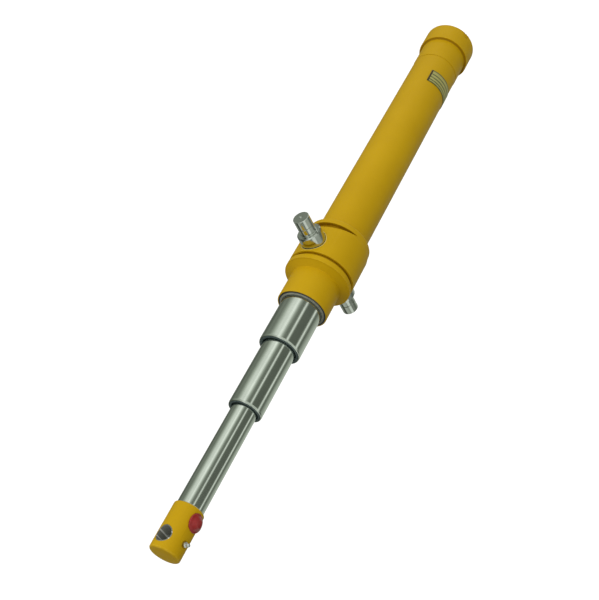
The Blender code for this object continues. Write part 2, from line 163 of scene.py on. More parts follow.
# ---------------------------------------------------------------- materials
PAINT_DEEP, PAINT_PALE = (0.575, 0.352, 0.0012), (0.620, 0.386, 0.0016)
PLATE_BACK = span("nameplate")[0]
PLATE_LENGTH = span("nameplate")[1] - PLATE_BACK
PLATE_HALF_ARC = math.radians(55)
# stretches along X, each with a largest radius, darkened as painted shade: the cap's front step, the slot behind
# the left trunnion and the groove in front of the collar
PAINTED_SHADE_SPANS = ((CAP_FRONT, CAP_FRONT + 1.4 * MM, 52.8 * MM), (RELIEF_BACK, RELIEF_BACK + 17 * MM, 60.6 * MM),
            (COLLAR_FRONT, COLLAR_FRONT + 4.4 * MM, 59.6 * MM))


def paint_material(name="yellow_enamel", bare_edge_highlight_r=0.0):
    """Satin yellow enamel with orange peel, slight colour drift, thinner, paler edges and painted shade in its
    grooves and steps.

    Given a radius, a fine pale ring runs at that radius round the trunnion axis: the bare machined edge of the
    seat, lit by a painted highlight.
    """
    made, tree, shader = new_material(name)
    drift = noise(tree, 9.0, 3.0, 0.55)
    base = mix_colour(tree, between(tree, drift, 0.3, 0.7), PAINT_DEEP, PAINT_PALE)
    specks = between(tree, noise(tree, 420.0, 2.0, 0.6), 0.60, 0.72, 0.0, 0.16)
    base = mix_colour(tree, specks, base, (0.42, 0.25, 0.004))
    # painted shade: the grooves and steps are darkened to a deep orange-brown
    base = mix_colour(tree, math_node(tree, 'MULTIPLY', painted_shade_mask(tree), 0.62), base, (0.21, 0.085, 0.001))
    worn = math_node(tree, 'MULTIPLY', rim_wear(tree), between(tree, noise(tree, 160.0, 4.0, 0.7), 0.35, 0.65))
    base = mix_colour(tree, math_node(tree, 'MULTIPLY', worn, 0.45), base, (0.80, 0.56, 0.06))
    rough = between(tree, noise(tree, 60.0, 3.0), 0.3, 0.7, 0.42, 0.52)
    if bare_edge_highlight_r:
        # the bare seat edge, made pale and less rough as a painted highlight
        bare = ring_mask(tree, bare_edge_highlight_r, 0.5 * MM)
        base = mix_colour(tree, bare, base, (0.78, 0.68, 0.27))
        rough = math_node(tree, 'MULTIPLY_ADD', bare, -0.2, rough)
    tree.links.new(base, shader.inputs["Base Color"])
    tree.links.new(rough, shader.inputs["Roughness"])
    peel = bump(tree, noise(tree, 520.0, 2.0), 0.10, 0.0006)
    wave = bump(tree, noise(tree, 70.0, 2.0), 0.06, 0.0020, peel)
    tree.links.new(wave, shader.inputs["Normal"])
    shader.inputs["Specular IOR Level"].default_value = 0.14
    return made


def painted_shade_mask(tree):
    """1 in the grooves and steps that are darkened as painted shade, each a stretch along X and a largest
    radius.
    """
    split = add(tree, "ShaderNodeSeparateXYZ", {0: place_of(tree)})
    squares = math_node(tree, 'MULTIPLY', split.outputs[2], split.outputs[2])
    squares = math_node(tree, 'MULTIPLY_ADD', split.outputs[1], split.outputs[1], squares)
    outward = math_node(tree, 'SQRT', squares)
    fade = 0.3 * MM
    total = 0.0
    for back, front, depth_r in PAINTED_SHADE_SPANS:
        after = between(tree, split.outputs[0], back - fade, back)
        before = between(tree, split.outputs[0], front, front + fade, 1.0, 0.0)
        inside = between(tree, outward, depth_r - 2 * fade, depth_r, 1.0, 0.0)
        here = math_node(tree, 'MULTIPLY', math_node(tree, 'MULTIPLY', after, before), inside)
        total = math_node(tree, 'MAXIMUM', total, here)
    return total


def ring_mask(tree, at, half_width):
    """1 within half_width of the given distance from the Y axis, fading to 0 just outside."""
    split = add(tree, "ShaderNodeSeparateXYZ", {0: place_of(tree)})
    squares = math_node(tree, 'MULTIPLY', split.outputs[2], split.outputs[2])
    squares = math_node(tree, 'MULTIPLY_ADD', split.outputs[0], split.outputs[0], squares)
    off = math_node(tree, 'ABSOLUTE', math_node(tree, 'SUBTRACT', math_node(tree, 'SQRT', squares), at))
    return between(tree, off, half_width, half_width + 0.2 * MM, 1.0, 0.0)


def line_mask(tree, distance, centres, half_width):
    """1 near any of the given values of distance, and 0 elsewhere."""
    total = 0.0
    for centre in centres:
        off = math_node(tree, 'ABSOLUTE', math_node(tree, 'SUBTRACT', distance, centre))
        line = between(tree, off, half_width * 0.6, half_width * 1.2, 1.0, 0.0)
        total = math_node(tree, 'MAXIMUM', total, line)
    return total


def polished_material(name, colour, darker, roughness, along, scratch=0.05):
    """Ground metal: fine rings round the axis "along", a faint haze and polished edges."""
    made, tree, shader = new_material(name)
    lines = {'X': (60, 1, 1), 'Y': (1, 60, 1), 'Z': (1, 1, 60)}[along]
    rings = noise(tree, 55.0, 4.0, 0.7, stretch=lines)
    haze = noise(tree, 26.0, 3.0, 0.6)
    base = mix_colour(tree, between(tree, haze, 0.35, 0.7), colour, darker)
    base = mix_colour(tree, between(tree, rings, 0.55, 0.75, 0.0, 0.25), base, darker)
    base = mix_colour(tree, math_node(tree, 'MULTIPLY', rim_wear(tree), 0.6), base, (0.86, 0.88, 0.85))
    tree.links.new(base, shader.inputs["Base Color"])
    rough = math_node(tree, 'ADD', between(tree, rings, 0.3, 0.7, roughness, roughness * 1.5),
                      between(tree, haze, 0.35, 0.7, 0.0, roughness * 0.4))
    tree.links.new(rough, shader.inputs["Roughness"])
    tree.links.new(bump(tree, rings, scratch, 0.0002), shader.inputs["Normal"])
    shader.inputs["Metallic"].default_value = 1.0
    return made


def rubber_material(name="seal_polyurethane", deep=(0.020, 0.025, 0.034), pale=(0.034, 0.040, 0.050)):
    """Dark seal polyurethane with a faint haze of oil."""
    made, tree, shader = new_material(name)
    haze = noise(tree, 140.0, 3.0)
    base = mix_colour(tree, between(tree, haze, 0.35, 0.65), deep, pale)
    tree.links.new(base, shader.inputs["Base Color"])
    tree.links.new(between(tree, haze, 0.3, 0.7, 0.38, 0.55), shader.inputs["Roughness"])
    tree.links.new(bump(tree, noise(tree, 900.0), 0.15, 0.0003), shader.inputs["Normal"])
    return made


def bronze_material():
    return polished_material("guide_bronze", (0.52, 0.33, 0.14), (0.36, 0.21, 0.09), 0.30, 'X', 0.10)


def lip_material():
    """The scraper's bare lip: grey polyurethane, dulled by dust and oil."""
    made, tree, shader = new_material("lip_polyurethane")
    dust = noise(tree, 180.0, 3.0)
    base = mix_colour(tree, between(tree, dust, 0.35, 0.65), (0.19, 0.20, 0.16), (0.27, 0.28, 0.22))
    tree.links.new(base, shader.inputs["Base Color"])
    tree.links.new(between(tree, dust, 0.3, 0.7, 0.5, 0.65), shader.inputs["Roughness"])
    tree.links.new(bump(tree, dust, 0.12, 0.0003), shader.inputs["Normal"])
    return made


def bush_material():
    """Satin steel with two pale lines along the bore: painted reflections."""
    made, tree, shader = new_material("bush_steel")
    grain = noise(tree, 90.0, 3.0, 0.6, stretch=(6, 1, 6))
    base = mix_colour(tree, between(tree, grain, 0.3, 0.7), (0.30, 0.31, 0.27), (0.22, 0.23, 0.20))
    x = add(tree, "ShaderNodeSeparateXYZ", {0: place_of(tree)}).outputs[0]
    # painted reflection: two pale lines along the bore
    painted_reflection_lines = line_mask(tree, x, (BUSH_X - 5.2 * MM, BUSH_X + 5.0 * MM), 1.1 * MM)
    base = mix_colour(tree, painted_reflection_lines, base, (0.78, 0.80, 0.76))
    tree.links.new(base, shader.inputs["Base Color"])
    tree.links.new(between(tree, grain, 0.3, 0.7, 0.36, 0.48), shader.inputs["Roughness"])
    tree.links.new(bump(tree, grain, 0.08, 0.0002), shader.inputs["Normal"])
    shader.inputs["Metallic"].default_value = 0.35
    return made


def plate_material():
    """Brushed aluminium, yellowed by lacquer, with grey-green ruled lines, no lettering, and a painted shadow
    along its edge towards -Y.
    """
    made, tree, shader = new_material("plate_aluminium")
    brushed = noise(tree, 70.0, 3.0, 0.65, stretch=(8, 1, 1))
    base = mix_colour(tree, between(tree, brushed, 0.3, 0.7), (0.42, 0.40, 0.12), (0.53, 0.50, 0.17))
    x = add(tree, "ShaderNodeSeparateXYZ", {0: place_of(tree)}).outputs[0]
    rows = [PLATE_BACK + part * PLATE_LENGTH for part in (0.04, 0.33, 0.58, 0.80, 0.97)]
    lines = line_mask(tree, x, rows, 1.7 * MM)
    faded = between(tree, noise(tree, 110.0, 3.0, 0.6), 0.3, 0.6, 0.65, 1.0)
    base = mix_colour(tree, math_node(tree, 'MULTIPLY', lines, faded), base, (0.085, 0.11, 0.035))
    # painted shadow: a dark strip along the plate's edge towards -Y
    y = add(tree, "ShaderNodeSeparateXYZ", {0: place_of(tree)}).outputs[1]
    shadow_edge = -BARREL_R * math.sin(PLATE_HALF_ARC) + 1.3 * MM
    base = mix_colour(tree, between(tree, y, shadow_edge, shadow_edge + 0.3 * MM, 1.0, 0.0), base, (0.05, 0.035, 0.006))
    tree.links.new(base, shader.inputs["Base Color"])
    tree.links.new(between(tree, brushed, 0.3, 0.7, 0.42, 0.55), shader.inputs["Roughness"])
    tree.links.new(bump(tree, brushed, 0.06, 0.0002), shader.inputs["Normal"])
    shader.inputs["Metallic"].default_value = 0.10
    return made


def plastic_material():
    """Dark red moulded polyethylene, slightly cloudy, with a fine moulded grain."""
    made, tree, shader = new_material("plug_polyethylene")
    cloud = noise(tree, 120.0, 3.0)
    base = mix_colour(tree, between(tree, cloud, 0.3, 0.7), (0.300, 0.011, 0.012), (0.370, 0.017, 0.016))
    base = mix_colour(tree, math_node(tree, 'MULTIPLY', rim_wear(tree), 0.30), base, (0.36, 0.07, 0.06))
    tree.links.new(base, shader.inputs["Base Color"])
    tree.links.new(between(tree, cloud, 0.3, 0.7, 0.30, 0.40), shader.inputs["Roughness"])
    tree.links.new(bump(tree, noise(tree, 1300.0), 0.18, 0.0003), shader.inputs["Normal"])
    shader.inputs["Subsurface Weight"].default_value = 0.06
    shader.inputs["Subsurface Scale"].default_value = 0.004
    return made


MATERIALS = {
    "yellow_paint": paint_material(),
    "hard_chrome": polished_material("hard_chrome", (0.66, 0.70, 0.645), (0.58, 0.62, 0.57), 0.085, 'X', 0.03),
    "machined_steel": polished_material("turned_steel", (0.62, 0.64, 0.60), (0.52, 0.54, 0.50), 0.08, 'Y', 0.03),
    "spring_steel": polished_material("spring_steel", (0.22, 0.23, 0.25), (0.15, 0.16, 0.17), 0.30, 'X', 0.05),
    "zinc_plate": polished_material("zinc_plate", (0.72, 0.73, 0.73), (0.60, 0.61, 0.62), 0.20, 'Z', 0.04),
    "guide_bronze": bronze_material(),
    "seal_rubber": rubber_material(),
    "plug_plastic": plastic_material(),
    "plate_aluminium": plate_material(),
}
COLLAR_PAINT = paint_material("collar_enamel", SEAT_RING_R)
LIP = lip_material()
STAGE_SEAL = rubber_material("stage_seal", (0.055, 0.085, 0.088), (0.085, 0.120, 0.120))
BUSH_STEEL = bush_material()


# ---------------------------------------------------------------- turned shapes
def rounded(outline, closed):
    """Turn corners given as (along, radius, fillet) into arcs. Gives (along, radius, rim) points."""
    count = len(outline)
    points = []
    for i, corner in enumerate(outline):
        here = Vector(corner[:2])
        fillet = corner[2] if len(corner) > 2 else 0
        if not fillet or (not closed and i in (0, count - 1)):
            points.append((here.x, here.y, 0.0))
            continue
        before = (Vector(outline[i - 1][:2]) - here).normalized()
        after = (Vector(outline[(i + 1) % count][:2]) - here).normalized()
        half = before.angle(after) / 2
        cut_back = fillet / math.tan(half)
        centre = here + (before + after).normalized() * (fillet / math.sin(half))
        first, last = here + before * cut_back - centre, here + after * cut_back - centre
        sweep = math.atan2(first.x * last.y - first.y * last.x, first.dot(last))
        convex = 1.0 if sweep < 0 else 0.0
        steps = max(2, round(abs(sweep) / math.radians(15)))
        for k in range(steps + 1):
            turned = Matrix.Rotation(sweep * k / steps, 2) @ first
            spot = centre + turned
            points.append((spot.x, spot.y, convex * math.sin(math.pi * k / steps)))
    return points


AXES = {
    'X': Matrix(((0, 0, 1), (0, 1, 0), (-1, 0, 0))).to_4x4(),
    'Y': Matrix(((1, 0, 0), (0, 0, 1), (0, -1, 0))).to_4x4(),
    '-Y': Matrix(((1, 0, 0), (0, 0, -1), (0, 1, 0))).to_4x4(),
    'Z': Matrix.Identity(4),
}


def as_object(name, shape, body, nodes, slot, finish=None, sharp=35):
    """Make a bmesh into a piece that stands for its nodes, rides on their body and has their finish."""
    bmesh.ops.recalc_face_normals(shape, faces=shape.faces)
    mesh = bpy.data.meshes.new(name)
    shape.to_mesh(mesh)
    shape.free()
    mesh.shade_smooth()
    mesh.set_sharp_from_angle(angle=math.radians(sharp))
    mesh.materials.append(finish or MATERIALS[slot])
    obj = bpy.data.objects.new(name, mesh)
    bpy.context.scene.collection.objects.link(obj)
    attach(obj, body)
    if nodes:
        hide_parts(*nodes)
    return obj


def lathe_mesh(outline, axis='X', at=(0, 0, 0), segments=SEGMENTS):
    """A bmesh turned from an outline, outer side first. It is a ring unless it starts on the axis."""
    closed = outline[0][1] > 0
    points = rounded(outline, closed)
    place = Matrix.Translation(at) @ (AXES[axis] if isinstance(axis, str) else axis)
    shape = bmesh.new()
    rim = shape.verts.layers.float.new("rim")
    rows = []
    for along, radial, mark in points:
        row = []
        for j in range(1 if radial == 0 else segments):
            turn = TURN * j / segments
            vert = shape.verts.new(place @ Vector((radial * math.cos(turn), radial * math.sin(turn), along)))
            vert[rim] = mark
            row.append(vert)
        rows.append(row)
    pairs = list(zip(rows, rows[1:] + rows[:1])) if closed else list(zip(rows, rows[1:]))
    for first, second in pairs:
        for j in range(segments):
            k = (j + 1) % segments
            corners = [first[j % len(first)], first[k % len(first)], second[k % len(second)],
                       second[j % len(second)]]
            loop = [v for n, v in enumerate(corners) if v not in corners[:n]]
            if len(loop) > 2:
                shape.faces.new(loop)
    return shape


def lathe(name, outline, body, nodes, slot, axis='X', at=(0, 0, 0), segments=SEGMENTS, finish=None):
    return as_object(name, lathe_mesh(outline, axis, at, segments), body, nodes, slot, finish)


def plain_object(name, shape):
    """A hidden mesh to cut with."""
    bmesh.ops.recalc_face_normals(shape, faces=shape.faces)
    mesh = bpy.data.meshes.new(name)
    shape.to_mesh(mesh)
    shape.free()
    obj = bpy.data.objects.new(name, mesh)
    CUTTERS.objects.link(obj)
    return obj


def round_cutter(name, at, axis, size, start, end, segments=FINE):
    """A round cutter of the given radius from start to end along axis."""
    outline = [(start, 0), (start, size), (end, size), (end, 0)]
    return plain_object(name, lathe_mesh(outline, axis, at, segments))


def carve(obj, cutters, bevel=0.0004, operation='DIFFERENCE'):
    """Cut holes, round the new edges, and leave a plain mesh."""
    for tool in cutters:
        step = obj.modifiers.new(tool.name, 'BOOLEAN')
        step.operation = operation
        step.solver = 'EXACT'
        step.object = tool
    if bevel:
        edge = obj.modifiers.new("edge", 'BEVEL')
        edge.width = bevel
        edge.segments = 2
        edge.limit_method = 'ANGLE'
        edge.angle_limit = math.radians(40)
        edge.use_clamp_overlap = True
    mesh = bpy.data.meshes.new_from_object(obj.evaluated_get(bpy.context.evaluated_depsgraph_get()))
    obj.modifiers.clear()
    mesh.name = obj.data.name
    obj.data = mesh
    mesh.shade_smooth()
    mesh.set_sharp_from_angle(angle=math.radians(35))
    for tool in cutters:
        bpy.data.objects.remove(tool, do_unlink=True)
    return obj


def even_shading(obj):
    """Shade by face area, so that flats beside a fillet stay flat."""
    step = obj.modifiers.new("even shading", 'WEIGHTED_NORMAL')
    step.keep_sharp = True
    return obj


# ---------------------------------------------------------------- barrel pieces
def make_base_cap():
    neck_r = BARREL_R + 0.7 * MM
    floor_x = CAP_BACK + 38 * MM
    cap = lathe("cap_body", [
        (CAP_BACK, 0), (CAP_BACK, CAP_R, 1.6 * MM), (CAP_FRONT, CAP_R, 0.6 * MM),
        (CAP_FRONT + 0.5 * MM, neck_r + 1.5 * MM, 0.3 * MM), (CAP_FRONT + 1.5 * MM, neck_r, 0.6 * MM),
        (NECK_END, neck_r, 0.25 * MM), (NECK_END, BARREL_BORE_R), (floor_x, BARREL_BORE_R), (floor_x, 0)],
        "barrel", ["base_cap"], "yellow_paint")
    place = Matrix.Translation((BLEED_X, 0, 0)) @ Matrix.Rotation(BLEED_TURN, 4, 'X')
    carve(cap, [round_cutter("bleed_seat", (0, 0, 0), place, 6.2 * MM, 51 * MM, 61 * MM, 48),
                round_cutter("bleed_hole", (0, 0, 0), place, 3.4 * MM, 43 * MM, 53 * MM, 32)], 0.35 * MM)
    even_shading(cap)


def make_bleed_screw():
    place = Matrix.Translation((BLEED_X, 0, 0)) @ Matrix.Rotation(BLEED_TURN, 4, 'X')
    head = 51.3 * MM
    screw = lathe("bleed_body", [
        (head - 7.8 * MM, 0), (head - 7.8 * MM, 3.0 * MM), (head, 3.0 * MM), (head, 4.8 * MM, 0.3 * MM),
        (head + 2.5 * MM, 4.8 * MM, 0.6 * MM), (head + 2.5 * MM, 0)],
        "barrel", ["bleed_screw"], "yellow_paint", axis=place, segments=48)
    carve(screw, [round_cutter("bleed_socket", (0, 0, 0), place, 2.3 * MM, head - 1 * MM, head + 5 * MM, 6)],
          0.12 * MM)


def make_barrel_tube():
    start, end = span("barrel_tube")
    lathe("barrel_skin", [(start, BARREL_R, 0.25 * MM), (end, BARREL_R), (end, BARREL_BORE_R),
                          (start, BARREL_BORE_R)], "barrel", ["barrel_tube"], "yellow_paint")


def plate_half_length(arc):
    """Half of the plate's length along the cylinder, less near its ends, where its corners are round."""
    corner = 2.0 * MM
    into_corner = max(0.0, abs(arc) - (PLATE_HALF_ARC * BARREL_R - corner))
    return PLATE_LENGTH / 2 - corner + math.sqrt(max(0.0, corner ** 2 - into_corner ** 2))


def make_nameplate():
    """A thin plate bent round the barrel, with round corners."""
    steps = 72
    reach = PLATE_HALF_ARC * BARREL_R
    inner, outer = BARREL_R + 0.3 * MM, BARREL_R + 1.0 * MM
    middle = PLATE_BACK + PLATE_LENGTH / 2
    shape = bmesh.new()
    rows = []
    for i in range(steps + 1):
        arc = -reach * math.cos(math.pi * i / steps)
        turn = arc / BARREL_R
        half = plate_half_length(arc)
        corners = ((middle - half, inner), (middle + half, inner), (middle + half, outer),
                   (middle - half, outer))
        rows.append([shape.verts.new((x, r * math.sin(turn), r * math.cos(turn))) for x, r in corners])
    for first, second in zip(rows, rows[1:]):
        for k in range(4):
            shape.faces.new((first[k - 1], first[k], second[k], second[k - 1]))
    shape.faces.new(rows[0])
    shape.faces.new(reversed(rows[-1]))
    plate = as_object("plate_body", shape, "barrel", ["nameplate"], "plate_aluminium")
    carve(plate, [], 0.15 * MM)


def relief_cutter():
    """The slot behind the left trunnion: its rear wall is straight and its front wall tapers to it."""
    floor_r, top = 54.0 * MM, COLLAR_R + 5 * MM
    spread, steps = math.radians(65), 40
    shape = bmesh.new()
    rows = []
    for i in range(steps + 1):
        turn = spread * (2 * i / steps - 1)
        front = RELIEF_BACK + 0.33 * (COLLAR_R * math.cos(turn) - 23.5 * MM)
        corners = ((RELIEF_BACK, floor_r), (front, floor_r), (front, top), (RELIEF_BACK, top))
        rows.append([shape.verts.new((x, -r * math.cos(turn), r * math.sin(turn))) for x, r in corners])
    for first, second in zip(rows, rows[1:]):
        for k in range(4):
            shape.faces.new((first[k - 1], first[k], second[k], second[k - 1]))
    shape.faces.new(rows[0])
    shape.faces.new(reversed(rows[-1]))
    return plain_object("relief", shape)


def make_collar():
    inner = BARREL_R + GAP
    step = span("barrel_tube")[1] + GAP
    collar = lathe("collar_ring", [
        (WELD_BACK, inner + 0.2 * MM), (WELD_BACK + 2.6 * MM, inner + 1.0 * MM, 3.0 * MM),
        (WELD_BACK + 11.3 * MM, 60.5 * MM, 4 * MM), (RELIEF_BACK, 61.5 * MM, 3 * MM),
        (RELIEF_BACK + 8 * MM, COLLAR_R, 3 * MM), (COLLAR_FRONT, COLLAR_R, 0.8 * MM), (COLLAR_FRONT, THREAD_R),
        (step, THREAD_R), (step, inner), (WELD_BACK, inner)], "barrel", ["trunnion_collar"], "yellow_paint",
        segments=192, finish=COLLAR_PAINT)
    cutters = [relief_cutter()]
    for side, axis in (("left", '-Y'), ("right", 'Y')):
        cutters.append(round_cutter(f"seat_{side}", (0, 0, 0), axis, SEAT_RING_R, 57.4 * MM, 80 * MM, 96))
        cutters.append(round_cutter(f"spigot_{side}", (0, 0, 0), axis, 16.3 * MM, 51.6 * MM, 80 * MM))
    carve(collar, cutters, 0.5 * MM)


def make_pins():
    foot, shoulder, groove = 57.7 * MM, 83.5 * MM, 98 * MM
    pin_r, spigot_r = 15 * MM, 16 * MM
    groove_half, groove_r = 0.8 * MM, 13.8 * MM
    for side, axis in (("left", '-Y'), ("right", 'Y')):
        node = f"trunnion_pin_{side}"
        root = min(abs(v) for v in span(node, 1))
        pin = lathe(f"pin_{side}", [
            (root, 0), (root, spigot_r, 0.5 * MM), (foot, spigot_r), (foot, SHOULDER_R, 0.4 * MM),
            (shoulder - 2 * MM, SHOULDER_R, 0.4 * MM), (shoulder, SHOULDER_R - 2 * MM, 0.4 * MM),
            (shoulder, pin_r, 0.8 * MM), (groove - groove_half, pin_r, 0.25 * MM),
            (groove - groove_half, groove_r, 0.25 * MM), (groove + groove_half, groove_r, 0.25 * MM),
            (groove + groove_half, pin_r, 0.25 * MM), (PIN_TIP, pin_r, 1.0 * MM),
            (PIN_TIP, 3.2 * MM, 0.3 * MM), (PIN_TIP - 3.0 * MM, 1.4 * MM), (PIN_TIP - 6.0 * MM, 0)],
            "barrel", [node], "machined_steel", axis=axis, segments=FINE + 24)
        even_shading(pin)


def make_gland():
    """The gland nut: thread and ring groove, undercut, flange, cone and nose, and the grooves in its bore."""
    back, end = GLAND_BACK, GLAND_END
    spigot = THREAD_R - GAP
    shoulder = COLLAR_FRONT + GAP
    flange_back, flange_front = 34.5 * MM, 43.7 * MM
    undercut_end, undercut_r, land_r = 31.5 * MM, 57.5 * MM, 60 * MM
    wiper, seal, guide = (102 * MM, end), (80 * MM, 90 * MM), (30 * MM, 70 * MM)
    ring_x, ring_half, ring_r = 22.8 * MM, 1.9 * MM, 47.1 * MM
    wiper_r, seal_r, guide_r = 45.1 * MM, 43.2 * MM, 41.2 * MM
    nut = lathe("gland_body", [
        (back, spigot), (ring_x - ring_half, spigot), (ring_x - ring_half, ring_r),
        (ring_x + ring_half, ring_r), (ring_x + ring_half, spigot), (shoulder, spigot),
        (shoulder, undercut_r), (undercut_end, undercut_r), (undercut_end, land_r, 0.5 * MM),
        (flange_back, land_r), (flange_back, COLLAR_R, 0.8 * MM), (flange_front, COLLAR_R, 0.7 * MM),
        (flange_front + 0.4 * MM, 60.5 * MM, 0.4 * MM), (50.2 * MM, GLAND_NOSE_R, 1.2 * MM),
        (end, GLAND_NOSE_R, 1.0 * MM), (end, wiper_r, 0.3 * MM), (wiper[0], wiper_r),
        (wiper[0], GLAND_BORE_R), (seal[1], GLAND_BORE_R), (seal[1], seal_r), (seal[0], seal_r),
        (seal[0], GLAND_BORE_R), (guide[1], GLAND_BORE_R), (guide[1], guide_r), (guide[0], guide_r),
        (guide[0], GLAND_BORE_R), (back, GLAND_BORE_R)],
        "barrel", ["gland_nut"], "yellow_paint")
    even_shading(nut)


def make_gland_wiper():
    """The gland's scraper: a dark heel that fills its groove, and a grey lip that leans on stage 1."""
    back, tip = span("gland_wiper")
    inner = radius("stage1_tube") + GAP
    heel = GLAND_END + GAP
    heel_r, lip_r = 44.8 * MM, 42.4 * MM
    lathe("gland_scraper", [
        (back, heel_r), (heel, heel_r, 0.3 * MM), (heel, lip_r), (back, lip_r)],
        "barrel", ["gland_wiper"], "seal_rubber")
    lathe("gland_lip", [
        (back, lip_r - 0.1 * MM), (heel, lip_r - 0.1 * MM, 0.2 * MM), (tip, lip_r - 2.0 * MM, 0.5 * MM),
        (tip, inner + 0.4 * MM, 0.2 * MM), (tip - 0.8 * MM, inner), (back, inner)],
        "barrel", [], "seal_rubber", finish=LIP)


# ---------------------------------------------------------------- moving pieces
def make_stage_wiper(name, tube_r, inner_r):
    """A stage's scraper: nearly flush, and turned in to a thin lip that leans on the next stage."""
    back, front = span(f"{name}_wiper")
    outer, inner = tube_r - LIP_WALL, inner_r + GAP
    lathe(f"{name}_scraper", [
        (back, outer), (front - 0.3 * MM, outer, 0.2 * MM), (front, outer - 0.6 * MM, 0.3 * MM),
        (front, inner + 1.6 * MM, 0.5 * MM), (front - 2.0 * MM, inner + 0.8 * MM), (back, inner)],
        name, [f"{name}_wiper"], "seal_rubber", finish=STAGE_SEAL)


def make_stage(name, bore, inner_r, head):
    """A chromed tube, tapered at its mouth, with the ring grooves inside its head and on its foot."""
    start, end = span(f"{name}_tube")
    tube_r = radius(f"{name}_tube")
    throat = inner_r + 0.6 * MM
    wiper_back, wiper_r = end - 7 * MM, tube_r - LIP_WALL + GAP
    seal = (end - 27 * MM, end - 19 * MM)
    guide = (end - head + 8 * MM, end - 35 * MM)
    seal_r, guide_r = inner_r + 4.3 * MM, inner_r + 2.5 * MM
    foot = (start + 5 * MM, start + 42 * MM)
    foot_r = tube_r - 1.0 * MM
    taper, drop = 3.2 * MM, 0.7 * MM
    tube = lathe(f"{name}_chrome", [
        (start, tube_r, 0.6 * MM), (foot[0], tube_r, 0.2 * MM), (foot[0], foot_r), (foot[1], foot_r),
        (foot[1], tube_r, 0.2 * MM), (end - taper, tube_r, 3 * MM), (end, tube_r - drop, 0.9 * MM),
        (end, wiper_r, 0.2 * MM), (wiper_back, wiper_r), (wiper_back, throat), (seal[1], throat),
        (seal[1], seal_r), (seal[0], seal_r), (seal[0], throat), (guide[1], throat), (guide[1], guide_r),
        (guide[0], guide_r), (guide[0], throat), (end - head, throat), (end - head, bore),
        (start, bore)], name, [f"{name}_tube"], "hard_chrome")
    even_shading(tube)
    make_stage_wiper(name, tube_r, inner_r)


def make_plunger():
    start, end = span("plunger_rod")
    seat = end - 8 * MM
    foot = (start + 5 * MM, start + 37 * MM)
    foot_r = PLUNGER_R - 1.0 * MM
    rod = lathe("plunger_chrome", [
        (start, PLUNGER_R, 0.6 * MM), (foot[0], PLUNGER_R, 0.2 * MM), (foot[0], foot_r), (foot[1], foot_r),
        (foot[1], PLUNGER_R, 0.2 * MM), (seat, PLUNGER_R, 0.8 * MM), (seat, 14 * MM), (end, 14 * MM),
        (end, 8 * MM), (start, 8 * MM)], "plunger", ["plunger_rod"], "hard_chrome")
    even_shading(rod)


def make_eye():
    eye = lathe("eye_body", [(EYE_BACK, 0), (EYE_BACK, EYE_R, 2.4 * MM), (EYE_END, EYE_R, 3.4 * MM),
                             (EYE_END, 0)], "plunger", ["rod_eye"], "yellow_paint", segments=128)
    carve(eye, [
        round_cutter("rod_spigot", (0, 0, 0), 'X', 14.3 * MM, EYE_BACK - 0.01, EYE_BACK + 8.5 * MM),
        round_cutter("oil_bore", (0, 0, 0), 'X', 6 * MM, EYE_BACK, PORT_X, 32),
        round_cutter("port", (PORT_X, 0, 0), 'Z', 10.5 * MM, -4 * MM, 40 * MM),
        round_cutter("port_seat", (PORT_X, 0, 0), 'Z', 15.2 * MM, 23.2 * MM, 40 * MM),
        round_cutter("pin_bore", (BUSH_X, 0, 0), 'Y', 14.0 * MM, -40 * MM, 40 * MM),
        round_cutter("nipple_hole", (BUSH_X, 0, 0), 'Z', 3.3 * MM, 5 * MM, 40 * MM, 32),
        round_cutter("nipple_seat", (BUSH_X, 0, 0), 'Z', 5.8 * MM, 24.3 * MM, 40 * MM, 48)], 0.6 * MM)


def make_bush():
    half = EYE_R + 5 * MM
    bush = lathe("bush_liner", [(-half, 13.7 * MM), (half, 13.7 * MM), (half, 12.5 * MM),
                                (-half, 12.5 * MM)], "plunger", ["eye_bush"], "machined_steel",
                 axis='Y', at=(BUSH_X, 0, 0), segments=FINE, finish=BUSH_STEEL)
    envelope = round_cutter("bush_envelope", (0, 0, 0), 'X', EYE_R - 0.4 * MM, BUSH_X - 0.03, BUSH_X + 0.03,
                            128)
    carve(bush, [envelope], 0.25 * MM, 'INTERSECT')


def make_port_plug():
    """The moulded plug: a thin rim that fills its seat and a domed grip."""
    low = span("port_plug", 2)[0]
    seat, stem_r, rim_r, grip_r = 23.5 * MM, 10.1 * MM, 15.0 * MM, 11.5 * MM
    rim_top, top = seat + 2.6 * MM, 33.8 * MM
    lathe("plug_moulding", [
        (low, 0), (low, stem_r, 1.0 * MM), (seat, stem_r), (seat, rim_r, 0.5 * MM),
        (rim_top, rim_r, 1.2 * MM), (rim_top + 1.4 * MM, grip_r, 1.5 * MM), (top - 0.5 * MM, 6.0 * MM, 4.0 * MM),
        (top, 1.5 * MM, 2.0 * MM), (top, 0)],
        "plunger", ["port_plug"], "plug_plastic", axis='Z', at=(PORT_X, 0, 0), segments=FINE)


def make_nipple():
    low, high = span("grease_nipple", 2)
    seat = 24.6 * MM
    stem_r, hex_r, neck_r, head_r, hole_r = 3.0 * MM, 4.2 * MM, 2.3 * MM, 3.3 * MM, 0.8 * MM
    lathe("nipple_body", [
        (low, 0), (low, stem_r), (seat, stem_r), (seat, hex_r, 0.4 * MM), (seat + 4.0 * MM, hex_r, 0.6 * MM),
        (seat + 4.9 * MM, stem_r - 0.3 * MM, 0.3 * MM), (high - 4.2 * MM, neck_r, 0.5 * MM),
        (high - 2.9 * MM, head_r, 0.5 * MM), (high, 2.2 * MM, 0.8 * MM), (high, hole_r),
        (high - hole_r, 0)],
        "plunger", ["grease_nipple"], "zinc_plate", axis='Z', at=(BUSH_X, 0, 0), segments=36)


